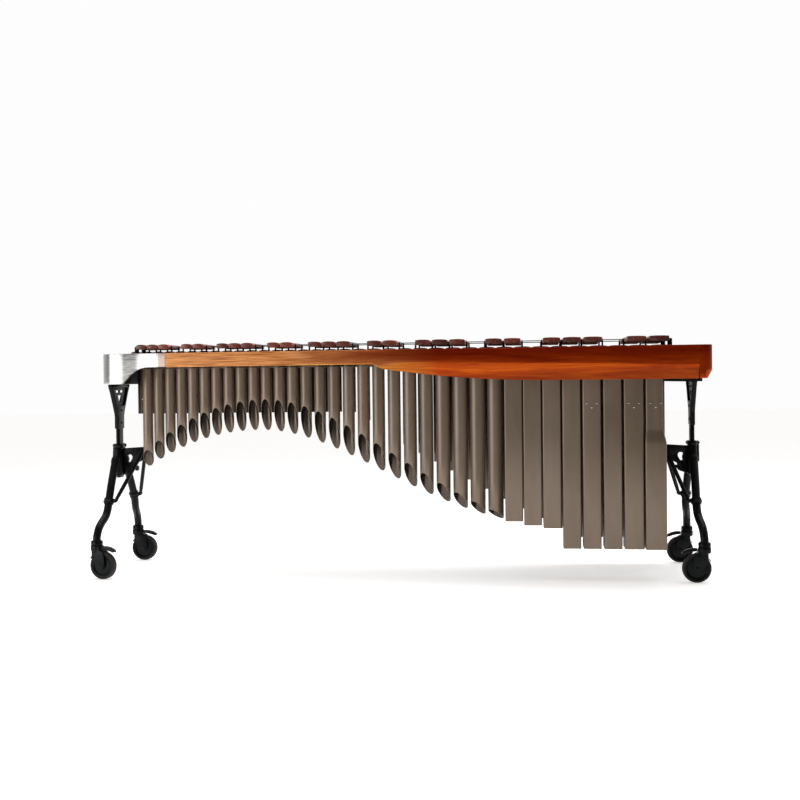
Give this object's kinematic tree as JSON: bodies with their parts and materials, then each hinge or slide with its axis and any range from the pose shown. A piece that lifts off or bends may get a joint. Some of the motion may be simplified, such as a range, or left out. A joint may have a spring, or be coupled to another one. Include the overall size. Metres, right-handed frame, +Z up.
{
  "type": "concert marimba",
  "caption": "Five-octave marimba: wooden bars on cords over two resonator banks, framed in wood with a metal end, on telescoping stands with braked casters.",
  "frame": {"origin": "on the floor, below the middle of the instrument's bounding box", "axes": "+X along the bars' row towards the low end, +Y towards the player, +Z up"},
  "size_m": [2.7736, 1.064, 1.067],
  "materials": {
    "wood": "satin lacquered reddish wood",
    "rosewood": "satin dark bars",
    "end_metal": "brushed",
    "resonator_metal": "satin taupe anodised look",
    "stand_metal": "satin black powder coat",
    "rail_black": "painted matte black",
    "stand_plastic": "matte black",
    "tread": "soft dark tread"
  },
  "bodies": {
    "frame": {"front_fascia": "wood", "rear_fascia": "wood", "high_end_cover": "end_metal", "low_end_board": "wood", "high_cross_beam": "rail_black", "low_cross_beam": "rail_black", "natural_front_rail": "rail_black", "natural_rear_rail": "rail_black", "accidental_front_rail": "rail_black", "accidental_rear_rail": "rail_black", "natural_bars_octave_6": "rosewood", "natural_bars_octave_5": "rosewood", "natural_bars_octave_4": "rosewood", "natural_bars_octave_3": "rosewood", "natural_bars_octave_2": "rosewood", "accidental_bars_octave_6": "rosewood", "accidental_bars_octave_5": "rosewood", "accidental_bars_octave_4": "rosewood", "accidental_bars_octave_3": "rosewood", "accidental_bars_octave_2": "rosewood", "front_resonators_high": "resonator_metal", "front_resonators_middle": "resonator_metal", "front_resonators_low": "resonator_metal", "rear_resonators_high": "resonator_metal", "rear_resonators_middle": "resonator_metal", "rear_resonators_low": "resonator_metal", "high_yoke": "stand_metal", "high_inner_column": "stand_metal", "low_yoke": "stand_metal", "low_inner_column": "stand_metal"},
    "high_base": {"high_base_hub": "stand_metal", "high_clamp_collar": "stand_plastic", "high_gusset": "stand_metal", "high_front_leg": "stand_metal", "high_rear_leg": "stand_metal", "high_front_strut": "stand_metal", "high_rear_strut": "stand_metal"},
    "high_lever": {"high_clamp_lever": "stand_plastic"},
    "high_knob": {"high_locking_knob": "stand_plastic"},
    "high_front_caster": {"high_front_caster_fork": "stand_plastic"},
    "high_front_wheel": {"high_front_wheel": "tread"},
    "high_front_pedal": {"high_front_brake_pedal": "stand_plastic"},
    "high_rear_caster": {"high_rear_caster_fork": "stand_plastic"},
    "high_rear_wheel": {"high_rear_wheel": "tread"},
    "high_rear_pedal": {"high_rear_brake_pedal": "stand_plastic"},
    "low_base": {"low_base_hub": "stand_metal", "low_clamp_collar": "stand_plastic", "low_gusset": "stand_metal", "low_front_leg": "stand_metal", "low_rear_leg": "stand_metal", "low_front_strut": "stand_metal", "low_rear_strut": "stand_metal"},
    "low_lever": {"low_clamp_lever": "stand_plastic"},
    "low_knob": {"low_locking_knob": "stand_plastic"},
    "low_front_caster": {"low_front_caster_fork": "stand_plastic"},
    "low_front_wheel": {"low_front_wheel": "tread"},
    "low_front_pedal": {"low_front_brake_pedal": "stand_plastic"},
    "low_rear_caster": {"low_rear_caster_fork": "stand_plastic"},
    "low_rear_wheel": {"low_rear_wheel": "tread"},
    "low_rear_pedal": {"low_rear_brake_pedal": "stand_plastic"}
  },
  "joints": [
    {"name": "high_height_slide", "type": "slide", "parent": "frame", "child": "high_base", "axis": [0, 0, -1], "range_m": [-0.06, 0.06]},
    {"name": "high_clamp_lever_turn", "type": "hinge", "parent": "high_base", "child": "high_lever", "pos_m": [-1.345, 0, 0.592], "axis": [1, 0, 0], "range_deg": [0, 90]},
    {"name": "high_locking_knob_turn", "type": "hinge", "parent": "high_base", "child": "high_knob", "pos_m": [-1.279, 0, 0.483], "axis": [1, 0, 0], "continuous": true},
    {"name": "high_front_caster_swivel", "type": "hinge", "parent": "high_base", "child": "high_front_caster", "pos_m": [-1.3575, -0.297, 0.15], "axis": [0, 0, 1], "continuous": true},
    {"name": "high_front_wheel_roll", "type": "hinge", "parent": "high_front_caster", "child": "high_front_wheel", "pos_m": [-1.32466, -0.3058, 0.0625], "axis": [0.2588, 0.9659, 0], "continuous": true},
    {"name": "high_front_brake_press", "type": "hinge", "parent": "high_front_caster", "child": "high_front_pedal", "pos_m": [-1.32369, -0.30606, 0.143], "axis": [0.2588, 0.9659, 0], "range_deg": [0, 12]},
    {"name": "high_rear_caster_swivel", "type": "hinge", "parent": "high_base", "child": "high_rear_caster", "pos_m": [-1.3575, 0.297, 0.15], "axis": [0, 0, 1], "continuous": true},
    {"name": "high_rear_wheel_roll", "type": "hinge", "parent": "high_rear_caster", "child": "high_rear_wheel", "pos_m": [-1.3235, 0.297, 0.0625], "axis": [0, 1, 0], "continuous": true},
    {"name": "high_rear_brake_press", "type": "hinge", "parent": "high_rear_caster", "child": "high_rear_pedal", "pos_m": [-1.3225, 0.297, 0.143], "axis": [0, 1, 0], "range_deg": [0, 12]},
    {"name": "low_height_slide", "type": "slide", "parent": "frame", "child": "low_base", "axis": [0, 0, -1], "range_m": [-0.06, 0.06]},
    {"name": "low_clamp_lever_turn", "type": "hinge", "parent": "low_base", "child": "low_lever", "pos_m": [1.345, 0, 0.592], "axis": [1, 0, 0], "range_deg": [0, 90]},
    {"name": "low_locking_knob_turn", "type": "hinge", "parent": "low_base", "child": "low_knob", "pos_m": [1.279, 0, 0.483], "axis": [1, 0, 0], "continuous": true},
    {"name": "low_front_caster_swivel", "type": "hinge", "parent": "low_base", "child": "low_front_caster", "pos_m": [1.3575, -0.297, 0.15], "axis": [0, 0, 1], "continuous": true},
    {"name": "low_front_wheel_roll", "type": "hinge", "parent": "low_front_caster", "child": "low_front_wheel", "pos_m": [1.3235, -0.297, 0.0625], "axis": [0, -1, 0], "continuous": true},
    {"name": "low_front_brake_press", "type": "hinge", "parent": "low_front_caster", "child": "low_front_pedal", "pos_m": [1.3225, -0.297, 0.143], "axis": [0, -1, 0], "range_deg": [0, 12]},
    {"name": "low_rear_caster_swivel", "type": "hinge", "parent": "low_base", "child": "low_rear_caster", "pos_m": [1.3575, 0.297, 0.15], "axis": [0, 0, 1], "continuous": true},
    {"name": "low_rear_wheel_roll", "type": "hinge", "parent": "low_rear_caster", "child": "low_rear_wheel", "pos_m": [1.3235, 0.297, 0.0625], "axis": [0, -1, 0], "continuous": true},
    {"name": "low_rear_brake_press", "type": "hinge", "parent": "low_rear_caster", "child": "low_rear_pedal", "pos_m": [1.3225, 0.297, 0.143], "axis": [0, -1, 0], "range_deg": [0, 12]}
  ],
  "couplings": [
    {"joint": "low_height_slide", "follows": "high_height_slide", "ratio": 1}
  ]
}
